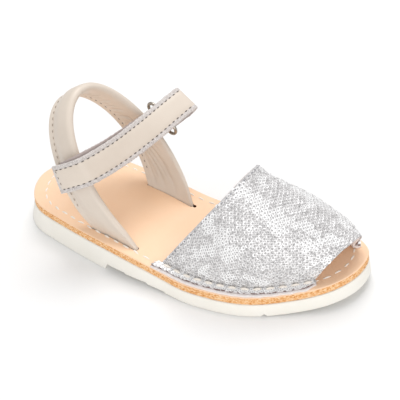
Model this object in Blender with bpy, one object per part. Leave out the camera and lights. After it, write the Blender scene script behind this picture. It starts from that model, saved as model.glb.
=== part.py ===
"""Child's avarca sandal, the right shoe, built from its own pieces.

Metres, +Z up, toe towards +X, the foot's inner (medial) side towards +Y.
The pieces are modelled with the back of the heel at X = 0 and the floor at Z = 0,
and centre_on_floor then moves them so that the origin is below the middle of the shoe.
"""
import math

import bmesh
import bpy
import numpy as np
from mathutils import Matrix, Vector

# Driving sizes of the sole
SOLE_LENGTH = 0.165
BALL_WIDTH = 0.065
HEEL_HEIGHT = 0.0110
FOREFOOT_THICKNESS = 0.0060
WAIST_LIFT = 0.0030
TOE_SPRING = 0.0047
TOE_THINNING_SHARE = 0.8
HEEL_FLARE = 0.0025
SIDE_FLARE = 0.0005
SOLE_EDGE_RADIUS = 0.0008
BREAST_SLANT = 0.0015
STEP_DROP = 0.0006
STEP_SLANT = 0.0003
GROOVE_DEPTH = 0.0012
GROOVE_WIDTH = 0.0024

# Footbed
INSOLE_THICKNESS = 0.0034
INSOLE_EDGE_RADIUS = 0.0005
INSOLE_INSET = 0.0003

# Vamp: the cloth upper over the forefoot
INSTEP_HEIGHT = 0.0426
VAMP_WALL = 0.0015
VAMP_FULLNESS_POWER = 0.95
FLANGE_WIDTH = 0.0042
FLANGE_MARGIN = 0.0004

# Heel strap: one padded loop, its two legs let into slots of the footbed
LOOP_RISE = 0.0505
LEG_SPREAD = 0.0253
MEDIAL_TUCK = 0.0118
HEEL_STRAP_WIDTH = 0.0142
SLOT_LENGTH = 0.0258
HEEL_STRAP_PAD = 0.0044
HEEL_STRAP_SEAM = 0.0030
HEEL_STRAP_EDGE = 0.0016
LEG_LEATHER = 0.0022
LATERAL_SWEEP_POWER = 2.4
MEDIAL_SWEEP_POWER = 2.1
# How far the lateral leg bows towards the heel, and how low on the leg it does
LATERAL_HOLLOW = 0.0022
HOLLOW_POWER = 4.3
LEAN_AT_BACK_DEGREES = 31.0
LEAN_CHANGE_DEGREES = 15.0
SLOT_TURN_DEGREES = 6.0

# How late along a leg its width, thickness, lean and turn change from the loop's to the slot's
LATERAL_WIDEN_POWER = 5.0
MEDIAL_WIDEN_POWER = 3.5
FLATTEN_POWER = 12
UPRIGHT_POWER = 3
TURN_POWER = 6
LOOP_ROWS = 49

# Instep strap, its ring and the tab that holds the ring
INSTEP_STRAP_WIDTH = 0.0132
INSTEP_STRAP_LEATHER = 0.0013
FOLD_RADIUS = 0.0020
LAYER_CLEARANCE = 0.0003
UNDER_LAYER_START_SHARE = 0.07
LAYERS_PART_FROM_SHARE = 0.25
LAYERS_PART_OVER_SHARE = 0.45
END_SLANT_DEGREES = 15.0
END_SLANT_OVER_SHARE = 0.2
RING_WIRE = 0.0015
RING_CLEARANCE = 0.0004
RING_OVERHANG = 0.0022
RING_PLACE_SHARE = 0.81
TAB_WIDTH = 0.0090
TAB_LEATHER = 0.0011
TAB_LENGTH = 0.0110
RING_STEPS = 12
WIRE_SIDES = 10
TAB_ROWS = 10

# Clearances between touching pieces
SEAT_GAP = 0.0003
SLOT_CLEARANCE = 0.0003
FLANGE_GAP = 0.0005

# Where the sole's sections change and the heel strap stands, as shares of the sole's length
HEEL_TOP_END_SHARE = 0.33
FOREFOOT_START_SHARE = 0.62
TOE_SPRING_START_SHARE = 0.78
HEEL_BREAST_SHARE = 0.346
WAIST_END_SHARE = 0.62
WAIST_STEP_SHARES = (0.42, 0.49, 0.55)
FLEX_GROOVE_SHARE = 0.825
FLARE_END_SHARE = 0.15
LOOP_BACK_SHARE = 0.1545
LATERAL_LEG_SHARE = 0.3636
MEDIAL_LEG_SHARE = 0.3855
WAIST_CURVE_ROWS = 9
TOE_CURVE_ROWS = 6
TOE_CURVE_END_SHARE = 0.98
STATION_SPACING = 0.0004

# Outline of the footbed. Columns: along (share of the sole's length), across (share of the
# ball width, lateral negative)
OUTLINE = (
    (0.000, 0.000),
    (0.022, -0.180),
    (0.075, -0.320),
    (0.170, -0.395),
    (0.360, -0.485),
    (0.520, -0.510),
    (0.640, -0.530),
    (0.770, -0.475),
    (0.880, -0.315),
    (0.965, -0.130),
    (1.000, 0.080),
    (0.980, 0.300),
    (0.885, 0.460),
    (0.760, 0.500),
    (0.650, 0.445),
    (0.500, 0.355),
    (0.350, 0.365),
    (0.170, 0.405),
    (0.075, 0.315),
    (0.022, 0.180),
)
OUTLINE_STEPS = 5
TOE_ROW = 10

# Sections of the vamp from its rear edge to its toe edge. Columns: lateral_along and
# medial_along (where the arch stands) and crown_forward (how far its crown leans), all shares
# of the sole's length, and height (share of the instep height)
VAMP_SECTIONS = (
    (0.529, 0.533, 0.193, 1.00),
    (0.627, 0.636, 0.141, 0.86),
    (0.730, 0.745, 0.095, 0.70),
    (0.836, 0.855, 0.060, 0.50),
    (0.918, 0.948, 0.044, 0.30),
)
VAMP_ROWS = 28
VAMP_ARCH = 24

# Middle line of the instep strap's top layer, from its free end to its fold. Columns: along
# (share of the sole's length), across (share of the leg spread), rise (share of the loop's
# rise) and lean (of the strap's width from upright, in degrees)
STRAP_PATH = (
    (0.203, -1.145, 0.478, 14.0),
    (0.252, -1.160, 0.565, 21.0),
    (0.302, -1.005, 0.640, 26.0),
    (0.327, -0.370, 0.650, 31.0),
    (0.342, 0.380, 0.667, 40.0),
    (0.352, 1.040, 0.692, 50.0),
    (0.360, 1.480, 0.711, 57.0),
)
STRAP_ROWS = 36
FOLD_ROWS = 8

# How far the instep strap's under layer strays from the top one. Columns: place (0 at the free
# end, 1 at the fold) and shift towards the upper edge (share of the strap's width)
UNDER_LAYER_DRIFT = (
    (0.07, -0.07),
    (0.20, 0.04),
    (0.34, 0.10),
    (0.50, 0.05),
    (0.75, 0.00),
)

# Colours from the photograph (linear), roughness and metallic value of each material
FINISHES = {
    "outsole": ((0.90, 0.87, 0.80), 0.55, 0.0),
    "insole": ((0.93, 0.62, 0.40), 0.60, 0.0),
    "vamp": ((0.72, 0.72, 0.74), 0.35, 0.4),
    "heel_strap": ((0.77, 0.69, 0.59), 0.50, 0.0),
    "instep_strap": ((0.80, 0.73, 0.63), 0.50, 0.0),
    "ring": ((0.45, 0.42, 0.38), 0.25, 1.0),
    "ring_tab": ((0.75, 0.67, 0.58), 0.55, 0.0),
}


def catmull_rom(before, start, end, after, t):
    """Point at t between start and end on the smooth curve through four neighbours."""
    return 0.5 * (2 * start + (end - before) * t
                  + (2 * before - 5 * start + 4 * end - after) * t * t
                  + (3 * start - before - 3 * end + after) * t ** 3)


def smooth_row(table, place):
    """Row of an open table at a place from 0 (first row) to 1 (last row)."""
    rows = np.array(table)
    rows = np.vstack([2 * rows[0] - rows[1], rows, 2 * rows[-1] - rows[-2]])
    spans = len(table) - 1
    span = min(int(place * spans), spans - 1)
    return catmull_rom(*rows[span:span + 4], place * spans - span)


def smoothstep(x):
    """Soft step from 0 to 1."""
    x = min(max(x, 0.0), 1.0)
    return x * x * (3 - 2 * x)


def toe_rise(x):
    """Rise of the toe at a distance x from the heel, before the sole's own scaling."""
    share = (x / SOLE_LENGTH - TOE_SPRING_START_SHARE) / (1 - TOE_SPRING_START_SHARE)
    return TOE_SPRING * max(share, 0.0) ** 2


def sole_top(x):
    """Height of the outsole's upper face."""
    share = (x / SOLE_LENGTH - HEEL_TOP_END_SHARE) / (FOREFOOT_START_SHARE - HEEL_TOP_END_SHARE)
    drop = (HEEL_HEIGHT - FOREFOOT_THICKNESS) * smoothstep(share)
    return HEEL_HEIGHT - drop + toe_rise(x)


def insole_bottom(x):
    """Height of the footbed's lower face."""
    return sole_top(x) + SEAT_GAP


def insole_top(x):
    """Height of the footbed's upper face."""
    return insole_bottom(x) + INSOLE_THICKNESS


def waist_rise(x):
    """Height of the raised waist, which falls to the forefoot in small steps."""
    start = HEEL_BREAST_SHARE * SOLE_LENGTH
    end = WAIST_END_SHARE * SOLE_LENGTH
    steps = [share * SOLE_LENGTH for share in WAIST_STEP_SHARES]
    slope = (WAIST_LIFT - STEP_DROP * len(steps)) / (end - start)
    fallen = sum(STEP_DROP for step in steps if x > step)
    return max(WAIST_LIFT - slope * (x - start) - fallen, 0.0)


def sole_bottom(x):
    """Height of the outsole's lower face: heel, breast, waist, groove and toe spring."""
    breast = HEEL_BREAST_SHARE * SOLE_LENGTH
    if x <= breast:
        return 0.0
    if x < breast + BREAST_SLANT:
        return WAIST_LIFT * (x - breast) / BREAST_SLANT
    groove = GROOVE_DEPTH * max(0.0, 1 - abs(x - FLEX_GROOVE_SHARE * SOLE_LENGTH) / (GROOVE_WIDTH / 2))
    return waist_rise(x) + groove + TOE_THINNING_SHARE * toe_rise(x)


def outline_loop(inset, flare=0.0):
    """Closed outline of the sole, moved inwards by inset; flare widens the back of the heel."""
    rows = np.array(OUTLINE) * (SOLE_LENGTH, BALL_WIDTH)
    count = len(rows)
    points = []
    for row in range(count):
        neighbours = [rows[(row + step) % count] for step in (-1, 0, 1, 2)]
        points += [catmull_rom(*neighbours, step / OUTLINE_STEPS) for step in range(OUTLINE_STEPS)]
    points = np.array(points)
    along = np.roll(points, -1, axis=0) - np.roll(points, 1, axis=0)
    outward = np.stack([along[:, 1], -along[:, 0]], axis=1)
    outward /= np.linalg.norm(outward, axis=1)[:, None]
    share = np.clip(1 - points[:, 0] / (FLARE_END_SHARE * SOLE_LENGTH), 0, 1)
    return points + outward * (flare * share ** 2 - inset)[:, None]


def add_object(name, mesh_builder, sharp_angle=35.0):
    """Put a finished bmesh into the scene as a named object with its own material."""
    bmesh.ops.recalc_face_normals(mesh_builder, faces=mesh_builder.faces)
    mesh = bpy.data.meshes.new(name)
    mesh_builder.to_mesh(mesh)
    mesh_builder.free()
    mesh.shade_smooth()
    mesh.set_sharp_from_angle(angle=math.radians(sharp_angle))
    part = bpy.data.objects.new(name, mesh)
    bpy.context.collection.objects.link(part)
    if name in FINISHES:
        colour, roughness, metallic = FINISHES[name]
        material = bpy.data.materials.new(name)
        material.use_nodes = True
        shader = material.node_tree.nodes["Principled BSDF"]
        shader.inputs["Base Color"].default_value = (*colour, 1.0)
        shader.inputs["Roughness"].default_value = roughness
        shader.inputs["Metallic"].default_value = metallic
        mesh.materials.append(material)
    return part


def add_ring(builder, points):
    """Add one closed ring of vertices."""
    return [builder.verts.new(Vector(point)) for point in points]


def bridge(builder, first, second):
    """Join two rings of equal count with quads."""
    count = len(first)
    for index in range(count):
        after = (index + 1) % count
        builder.faces.new((first[index], first[after], second[after], second[index]))


def loft(rings, closed=False):
    """Solid through rings of points; its ends are capped unless the rings close on themselves."""
    builder = bmesh.new()
    made = [add_ring(builder, ring) for ring in rings]
    for first, second in zip(made, made[1:]):
        bridge(builder, first, second)
    if closed:
        bridge(builder, made[-1], made[0])
    else:
        builder.faces.new(made[0])
        builder.faces.new(made[-1])
    return builder


def slab(loops, heights, stations):
    """Solid between stacked outline loops whose heights are functions of x.

    The loops are stacked at whole-numbered levels, cut at every station along the shoe,
    and then every vertex is moved to the height that the functions give at its place.
    """
    rings = [[(x, y, level) for x, y in loop] for level, loop in enumerate(loops)]
    builder = loft(rings)
    for station in stations:
        everything = builder.verts[:] + builder.edges[:] + builder.faces[:]
        bmesh.ops.bisect_plane(builder, geom=everything, dist=1e-7,
                               plane_co=(station, 0, 0), plane_no=(1, 0, 0))
    for vertex in builder.verts:
        level = min(int(vertex.co.z), len(heights) - 2)
        share = vertex.co.z - level
        low = heights[level](vertex.co.x)
        high = heights[level + 1](vertex.co.x)
        vertex.co.z = low + (high - low) * share
    return builder


def sole_stations():
    """Places along the shoe where its lower face bends, and even ones for the curves."""
    length = SOLE_LENGTH
    breast = HEEL_BREAST_SHARE * length
    groove = FLEX_GROOVE_SHARE * length
    steps = [share * length for share in WAIST_STEP_SHARES]
    bends = [breast, breast + BREAST_SLANT]
    bends += [groove - GROOVE_WIDTH / 2, groove, groove + GROOVE_WIDTH / 2]
    bends += steps + [step + STEP_SLANT for step in steps]
    waist = np.linspace(HEEL_TOP_END_SHARE, WAIST_END_SHARE, WAIST_CURVE_ROWS)
    toe = np.linspace(TOE_SPRING_START_SHARE, TOE_CURVE_END_SHARE, TOE_CURVE_ROWS)
    curves = [share * length for share in (*waist, *toe)]
    return bends + [x for x in curves if min(abs(x - bend) for bend in bends) > STATION_SPACING]


def make_outsole():
    """Outsole with a low heel block, slanted breast, stepped waist and toe spring."""
    radius = SOLE_EDGE_RADIUS
    loops = [
        outline_loop(radius - SIDE_FLARE, HEEL_FLARE),
        outline_loop(-SIDE_FLARE, HEEL_FLARE),
        outline_loop(0.0),
        outline_loop(radius),
    ]
    heights = [
        sole_bottom,
        lambda x: sole_bottom(x) + radius,
        lambda x: sole_top(x) - radius,
        sole_top,
    ]
    return add_object("outsole", slab(loops, heights, sole_stations()))


def heel_strap_frame(place):
    """Centre, width direction, outward direction and width of the heel strap.

    place runs from -1 at the lateral slot, over 0 at the back of the heel, to 1 at the medial slot.
    """
    def centre(s):
        reach = abs(s)
        leg_along = SOLE_LENGTH * (MEDIAL_LEG_SHARE if s > 0 else LATERAL_LEG_SHARE)
        sweep = MEDIAL_SWEEP_POWER if s > 0 else LATERAL_SWEEP_POWER
        back = LOOP_BACK_SHARE * SOLE_LENGTH
        along = back + (leg_along - back) * reach ** sweep
        if s < 0:
            along -= LATERAL_HOLLOW * math.sin(math.pi * reach ** HOLLOW_POWER)
        across = LEG_SPREAD * math.sin(math.pi / 2 * s) - MEDIAL_TUCK * max(s, 0.0) ** TURN_POWER
        rise = insole_top(leg_along) + SEAT_GAP + LOOP_RISE * (1 - s * s)
        return Vector((along, across, rise))

    reach = abs(place)
    step = 0.5 / LOOP_ROWS
    direction = (centre(min(place + step, 1)) - centre(max(place - step, -1))).normalized()
    lean = math.radians((LEAN_AT_BACK_DEGREES + LEAN_CHANGE_DEGREES * place) * (1 - reach ** UPRIGHT_POWER))
    turn = math.radians(SLOT_TURN_DEGREES) * reach ** TURN_POWER
    width_way = Vector((math.cos(lean) * math.cos(turn), -math.sin(turn), math.sin(lean)))
    width_way.normalize()
    outward = width_way.cross(direction).normalized()
    widen = MEDIAL_WIDEN_POWER if place > 0 else LATERAL_WIDEN_POWER
    width = HEEL_STRAP_WIDTH + (SLOT_LENGTH - HEEL_STRAP_WIDTH) * reach ** widen
    return centre(place), width_way, outward, width


def padded_section(width, pad):
    """Half section of the heel strap: distance from its middle, half thickness."""
    half = width / 2
    rear = -half
    edge = min(HEEL_STRAP_EDGE, pad) / 2
    seam = rear + HEEL_STRAP_SEAM
    full = pad / 2
    # Columns: across and half thickness. The factors round the flange, its seam and the front edge
    return [
        (rear, 0.4 * edge),
        (rear + 0.25 * edge, edge),
        (seam, edge),
        (seam + 0.3 * full, 0.5 * edge + 0.5 * full),
        (seam + full, 0.93 * full),
        (0.15 * half, full),
        (half - 1.1 * full, 0.94 * full),
        (half - 0.4 * full, 0.72 * full),
        (half, 0.25 * full),
    ]


def heel_strap_ring(place, grow=0.0):
    """Ring of points around the heel strap at one place, grown by a clearance."""
    centre, width_way, outward, width = heel_strap_frame(place)
    pad = HEEL_STRAP_PAD + (LEG_LEATHER - HEEL_STRAP_PAD) * abs(place) ** FLATTEN_POWER
    half_section = padded_section(width, pad)
    middle = len(half_section) // 2
    outer = []
    for index, (across, thick) in enumerate(half_section):
        shift = grow if index > middle else -grow
        outer.append((across + shift, thick + grow))
    upper = [centre + width_way * across + outward * thick for across, thick in outer]
    lower = [centre + width_way * across - outward * thick for across, thick in reversed(outer)]
    return upper + lower


def on_surface(ring, height):
    """The same ring with each point set at the height that a function gives at its x."""
    return [Vector((point.x, point.y, height(point.x))) for point in ring]


def make_heel_strap():
    """Padded loop around the heel, with both leg ends down in the footbed's slots."""
    places = np.linspace(-1, 1, LOOP_ROWS)
    rings = [heel_strap_ring(place) for place in places]
    rings[0] = on_surface(rings[0], lambda x: insole_top(x) + SEAT_GAP)
    rings[-1] = on_surface(rings[-1], lambda x: insole_top(x) + SEAT_GAP)
    foot = [on_surface(rings[end], lambda x: insole_bottom(x) + SEAT_GAP) for end in (0, -1)]
    return add_object("heel_strap", loft([foot[0]] + rings + [foot[1]]))


def slot_cutter(place):
    """Prism around a leg of the heel strap, used to cut its slot."""
    ring = heel_strap_ring(place, SLOT_CLEARANCE)
    below = [Vector((point.x, point.y, 0.0)) for point in ring]
    above = [Vector((point.x, point.y, 2 * HEEL_HEIGHT + INSOLE_THICKNESS)) for point in ring]
    cutter = add_object(f"slot_cutter_{'medial' if place > 0 else 'lateral'}", loft([below, above]))
    cutter.hide_render = True
    cutter.display_type = "WIRE"
    return cutter


def make_insole():
    """Leather footbed with a slot for each leg of the heel strap."""
    radius = INSOLE_EDGE_RADIUS
    loops = [
        outline_loop(INSOLE_INSET),
        outline_loop(INSOLE_INSET),
        outline_loop(INSOLE_INSET + radius),
    ]
    heights = [insole_bottom, lambda x: insole_top(x) - radius, insole_top]
    insole = add_object("insole", slab(loops, heights, sole_stations()))
    for place in (-1, 1):
        cut = insole.modifiers.new("slot", "BOOLEAN")
        cut.operation = "DIFFERENCE"
        cut.solver = "EXACT"
        cut.object = slot_cutter(place)
    return insole


def side_lines():
    """Bend line and outer edge of the vamp's flange on both sides, from heel to toe."""
    toe = TOE_ROW * OUTLINE_STEPS
    bend = outline_loop(INSOLE_INSET + FLANGE_MARGIN + FLANGE_WIDTH)
    edge = outline_loop(INSOLE_INSET + FLANGE_MARGIN)
    lateral = slice(0, toe + 1)
    order = [0] + list(range(len(bend) - 1, toe - 1, -1))
    return (bend[lateral], edge[lateral]), (bend[order], edge[order])


def point_on_line(line, key, along):
    """Point of a line where the key line passes a distance along the shoe."""
    return [float(np.interp(along, key[:, 0], line[:, column])) for column in (0, 1)]


def vamp_row(place, sides):
    """Outer surface points of the vamp across the foot at one place."""
    lateral_along, medial_along, forward, height = smooth_row(VAMP_SECTIONS, place)
    feet = []
    edges = []
    for (bend, edge), share in zip(sides, (lateral_along, medial_along)):
        feet.append(Vector((*point_on_line(bend, bend, share * SOLE_LENGTH), 0.0)))
        edges.append(Vector((*point_on_line(edge, bend, share * SOLE_LENGTH), 0.0)))
    lift = FLANGE_GAP + VAMP_WALL
    for point in feet + edges:
        point.z = insole_top(point.x) + lift
    points = [edges[0]]
    for step in range(VAMP_ARCH + 1):
        angle = math.pi * step / VAMP_ARCH
        crown = math.sin(angle) ** VAMP_FULLNESS_POWER
        point = feet[0].lerp(feet[1], (1 - math.cos(angle)) / 2)
        point.x += forward * SOLE_LENGTH * crown
        point.z += height * INSTEP_HEIGHT * crown
        points.append(point)
    return points + [edges[1]]


def make_vamp():
    """Forefoot upper: an arched wall, open at instep and toe, with a flange on the footbed."""
    sides = side_lines()
    builder = bmesh.new()
    rows = [[builder.verts.new(point) for point in vamp_row(place, sides)]
            for place in np.linspace(0, 1, VAMP_ROWS)]
    for first, second in zip(rows, rows[1:]):
        for index in range(len(first) - 1):
            builder.faces.new((first[index], second[index], second[index + 1], first[index + 1]))
    vamp = add_object("vamp", builder)
    wall = vamp.modifiers.new("wall", "SOLIDIFY")
    wall.thickness = VAMP_WALL
    wall.offset = -1
    wall.use_even_offset = True
    return vamp


def strap_frame(place):
    """Centre, width direction, outward direction and run direction of the instep strap's top layer."""
    def centre(t):
        along, across, rise, _ = smooth_row(STRAP_PATH, t)
        seat = insole_top(0.0)
        return Vector((along * SOLE_LENGTH, across * LEG_SPREAD, seat + rise * LOOP_RISE))

    step = 0.35 / STRAP_ROWS
    run = (centre(min(place + step, 1)) - centre(max(place - step, 0))).normalized()
    lean = math.radians(smooth_row(STRAP_PATH, place)[3])
    width_way = Vector((-math.sin(lean), 0.0, math.cos(lean)))
    width_way = (width_way - run * width_way.dot(run)).normalized()
    outward = run.cross(width_way).normalized()
    return centre(place), width_way, outward, run


def layer_depth(place):
    """Distance between the middles of the two layers of the instep strap."""
    closed = INSTEP_STRAP_LEATHER + LAYER_CLEARANCE
    parting = smoothstep((place - LAYERS_PART_FROM_SHARE) / LAYERS_PART_OVER_SHARE)
    return closed + (2 * FOLD_RADIUS - closed) * parting


def under_layer_middle(place):
    """Middle of the instep strap's under layer at one place."""
    centre, width_way, outward, _ = strap_frame(place)
    drift = INSTEP_STRAP_WIDTH * float(np.interp(place, *zip(*UNDER_LAYER_DRIFT)))
    return centre + width_way * drift - outward * layer_depth(place)


def band_ring(centre, width_way, outward, width, thickness):
    """Rectangular section with small chamfers."""
    half = width / 2
    thick = thickness / 2
    chamfer = 0.3 * thickness
    corners = [
        (-half + chamfer, -thick), (half - chamfer, -thick),
        (half, -thick + chamfer), (half, thick - chamfer),
        (half - chamfer, thick), (-half + chamfer, thick),
        (-half, thick - chamfer), (-half, -thick + chamfer),
    ]
    return [centre + width_way * across + outward * up for across, up in corners]


def make_instep_strap():
    """Leather strap: top layer, round fold past the ring, and the under layer running back.

    The free end is cut at a slant, with its upper corner drawn in.
    """
    size = (INSTEP_STRAP_WIDTH, INSTEP_STRAP_LEATHER)
    rings = []
    for place in np.linspace(0, 1, STRAP_ROWS):
        centre, width_way, outward, run = strap_frame(place)
        slant = math.tan(math.radians(END_SLANT_DEGREES)) * max(1 - place / END_SLANT_OVER_SHARE, 0.0)
        lower_edge = centre - width_way * INSTEP_STRAP_WIDTH / 2
        rings.append([point + run * slant * (point - lower_edge).dot(width_way)
                      for point in band_ring(centre, width_way, outward, *size)])
    centre, width_way, outward, run = strap_frame(1.0)
    for step in range(1, FOLD_ROWS):
        angle = math.pi * step / FOLD_ROWS
        shift = run * math.sin(angle) - outward * (1 - math.cos(angle))
        facing = outward * math.cos(angle) + run * math.sin(angle)
        rings.append(band_ring(centre + shift * FOLD_RADIUS, width_way, facing, *size))
    for place in np.linspace(1, UNDER_LAYER_START_SHARE, STRAP_ROWS):
        _, width_way, outward, _ = strap_frame(place)
        rings.append(band_ring(under_layer_middle(place), width_way, -outward, *size))
    return add_object("instep_strap", loft(rings))


def ring_frame():
    """Centre, long direction, short direction and half sizes of the ring's wire line.

    The upper bar clears the strap's under layer, and the lower one leaves room for the tab's eye.
    """
    _, width_way, outward, _ = strap_frame(RING_PLACE_SHARE)
    middle = under_layer_middle(RING_PLACE_SHARE)
    above = INSTEP_STRAP_LEATHER / 2 + RING_CLEARANCE + RING_WIRE / 2
    below = above + TAB_LEATHER + SEAT_GAP
    centre = middle - outward * (below - above) / 2
    half_long = INSTEP_STRAP_WIDTH / 2 + RING_OVERHANG
    return centre, width_way, outward, half_long, (above + below) / 2


def make_ring():
    """Wire loop with round ends that the under layer runs through."""
    centre, long_way, short_way, half_long, half_short = ring_frame()
    plane_way = long_way.cross(short_way)
    rings = []
    straight = half_long - half_short
    for end in (1, -1):
        for step in range(RING_STEPS + 1):
            angle = math.pi * (step / RING_STEPS - 0.5) + (0 if end > 0 else math.pi)
            middle = (centre + long_way * (end * straight + half_short * math.cos(angle))
                      + short_way * half_short * math.sin(angle))
            radial = long_way * math.cos(angle) + short_way * math.sin(angle)
            ring = []
            for turn in range(WIRE_SIDES):
                around = 2 * math.pi * turn / WIRE_SIDES
                reach = radial * math.cos(around) + plane_way * math.sin(around)
                ring.append(middle + reach * RING_WIRE / 2)
            rings.append(ring)
    return add_object("ring", loft(rings, closed=True), 60.0)


def make_ring_tab():
    """Leather strip folded around the ring's lower bar, its two ends flat on the medial leg."""
    centre, long_way, short_way, _, half_short = ring_frame()
    bar = centre - short_way * half_short
    down = Vector((-long_way.z, 0.0, long_way.x)).normalized()
    if down.z > 0:
        down.negate()
    out = long_way.cross(down).normalized()
    if out.y < 0:
        out.negate()
    eye = RING_WIRE / 2 + SEAT_GAP + TAB_LEATHER / 2
    tail = (TAB_LEATHER + SEAT_GAP) / 2
    steps = [TAB_LENGTH * (1 - step / TAB_ROWS) for step in range(TAB_ROWS + 1)]

    def spread(distance):
        """Half distance between the middles of the two layers."""
        return eye + (tail - eye) * smoothstep(distance / (3 * eye))

    rings = []
    for distance in steps:
        middle = bar + down * distance - out * spread(distance)
        rings.append(band_ring(middle, long_way, -out, TAB_WIDTH, TAB_LEATHER))
    for step in range(1, FOLD_ROWS):
        angle = math.pi * step / FOLD_ROWS
        facing = -out * math.cos(angle) - down * math.sin(angle)
        rings.append(band_ring(bar + facing * eye, long_way, facing, TAB_WIDTH, TAB_LEATHER))
    for distance in reversed(steps):
        middle = bar + down * distance + out * spread(distance)
        rings.append(band_ring(middle, long_way, out, TAB_WIDTH, TAB_LEATHER))
    return add_object("ring_tab", loft(rings))


def centre_on_floor(parts):
    """Move every piece so that the origin is below the middle of the shoe's box."""
    bpy.context.view_layer.update()
    graph = bpy.context.evaluated_depsgraph_get()
    corners = np.array([vertex.co for part in parts
                        for vertex in part.evaluated_get(graph).data.vertices])
    low = corners.min(axis=0)
    high = corners.max(axis=0)
    shift = Matrix.Translation((-(low[0] + high[0]) / 2, -(low[1] + high[1]) / 2, -low[2]))
    for thing in bpy.data.objects:
        thing.data.transform(shift)


for old in list(bpy.data.objects):
    bpy.data.objects.remove(old, do_unlink=True)
pieces = [
    make_outsole(),
    make_insole(),
    make_vamp(),
    make_heel_strap(),
    make_instep_strap(),
    make_ring(),
    make_ring_tab(),
]
centre_on_floor(pieces)
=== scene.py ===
import functools
import random
from math import copysign, cos, exp, pi, radians, sin, sqrt, tan

import bmesh
import bpy
import numpy as np
from mathutils import Matrix, Vector, noise


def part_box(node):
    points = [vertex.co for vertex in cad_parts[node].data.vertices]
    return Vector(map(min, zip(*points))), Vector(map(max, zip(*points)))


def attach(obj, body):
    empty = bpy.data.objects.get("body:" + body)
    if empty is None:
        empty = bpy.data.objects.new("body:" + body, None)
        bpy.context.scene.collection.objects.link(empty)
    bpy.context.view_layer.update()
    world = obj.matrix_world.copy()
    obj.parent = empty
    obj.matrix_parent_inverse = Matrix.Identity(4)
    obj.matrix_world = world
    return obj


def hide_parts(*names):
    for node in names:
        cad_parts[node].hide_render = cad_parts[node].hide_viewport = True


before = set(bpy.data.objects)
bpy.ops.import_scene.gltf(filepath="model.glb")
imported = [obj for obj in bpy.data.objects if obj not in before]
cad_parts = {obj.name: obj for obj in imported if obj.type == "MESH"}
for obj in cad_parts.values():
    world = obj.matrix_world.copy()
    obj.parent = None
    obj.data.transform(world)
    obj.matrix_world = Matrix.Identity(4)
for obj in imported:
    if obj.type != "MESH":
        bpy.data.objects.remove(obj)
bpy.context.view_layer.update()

# Outsole: one moulding of foamed rubber with a low heel block, a stepped waist, a flex groove and
# a lifted toe. It is glued under the footbed.
SOLE_LENGTH = 0.165
BALL_WIDTH = 0.065
HEEL_HEIGHT = 0.0110
FOREFOOT_THICKNESS = 0.0060
WAIST_LIFT = 0.0030
TOE_SPRING = 0.0047
TOE_THINNING = 0.8
HEEL_FLARE = 0.0025
FLARE_END = 0.15
SIDE_FLARE = 0.0005
SOLE_EDGE_RADIUS = 0.0008
BREAST = 0.346 * SOLE_LENGTH
BREAST_SLANT = 0.0015
STEPS = [share * SOLE_LENGTH for share in (0.42, 0.49, 0.55)]
STEP_DROP = 0.0006
STEP_SLANT = 0.0003
WAIST_END = 0.62 * SOLE_LENGTH
TOP_FALL_START = 0.33 * SOLE_LENGTH
TOE_SPRING_START = 0.78 * SOLE_LENGTH
GROOVE = 0.825 * SOLE_LENGTH
GROOVE_DEPTH = 0.0012
GROOVE_WIDTH = 0.0024
SEAT_GAP = 0.0003
EDGE_ANGLES = [pi / 2 * step / 4 for step in range(5)]
# Outline over the outer side, the toe and the inner side, as shares of the length and ball width
OUTLINE = (
    (0.000, 0.000), (0.022, -0.180), (0.075, -0.320), (0.170, -0.395), (0.360, -0.485),
    (0.520, -0.510), (0.640, -0.530), (0.770, -0.475), (0.880, -0.315), (0.965, -0.130),
    (1.000, 0.080), (0.980, 0.300), (0.885, 0.460), (0.760, 0.500), (0.650, 0.445),
    (0.500, 0.355), (0.350, 0.365), (0.170, 0.405), (0.075, 0.315), (0.022, 0.180),
)
TOE_ROW = 10
OUTLINE_STEPS = 12


def curve_point(before, start, end, after, t):
    """Point at t between start and end on the smooth curve through four neighbours."""
    return 0.5 * (2 * start + (end - before) * t
                  + (2 * before - 5 * start + 4 * end - after) * t * t
                  + (3 * start - before - 3 * end + after) * t ** 3)


def soft_step(x):
    """Soft step from 0 to 1."""
    x = min(max(x, 0.0), 1.0)
    return x * x * (3 - 2 * x)


def smooth_loop(rows, steps):
    """Closed smooth curve through rows of numbers."""
    near = [np.roll(rows, -step, axis=0)[:, None] for step in (-1, 0, 1, 2)]
    return curve_point(*near, (np.arange(steps) / steps)[:, None]).reshape(-1, 2)


@functools.lru_cache(None)
def outline(inset, flare=0.0):
    """Closed outline of the sole, moved inwards by inset; flare widens the back of the heel."""
    points = smooth_loop(np.array(OUTLINE) * (SOLE_LENGTH, BALL_WIDTH), OUTLINE_STEPS)
    along = np.roll(points, -1, axis=0) - np.roll(points, 1, axis=0)
    outward = np.stack([along[:, 1], -along[:, 0]], axis=1)
    outward /= np.linalg.norm(outward, axis=1)[:, None]
    share = np.clip(1 - points[:, 0] / (FLARE_END * SOLE_LENGTH), 0, 1)
    return points + outward * (flare * share ** 2 - inset)[:, None]


def toe_rise(x):
    """Rise of the toe at a distance x from the heel."""
    share = (x - TOE_SPRING_START) / (SOLE_LENGTH - TOE_SPRING_START)
    return TOE_SPRING * max(share, 0.0) ** 2


def sole_top(x):
    """Height of the outsole's upper face."""
    fall = soft_step((x - TOP_FALL_START) / (WAIST_END - TOP_FALL_START))
    return HEEL_HEIGHT - (HEEL_HEIGHT - FOREFOOT_THICKNESS) * fall + toe_rise(x)


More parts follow.
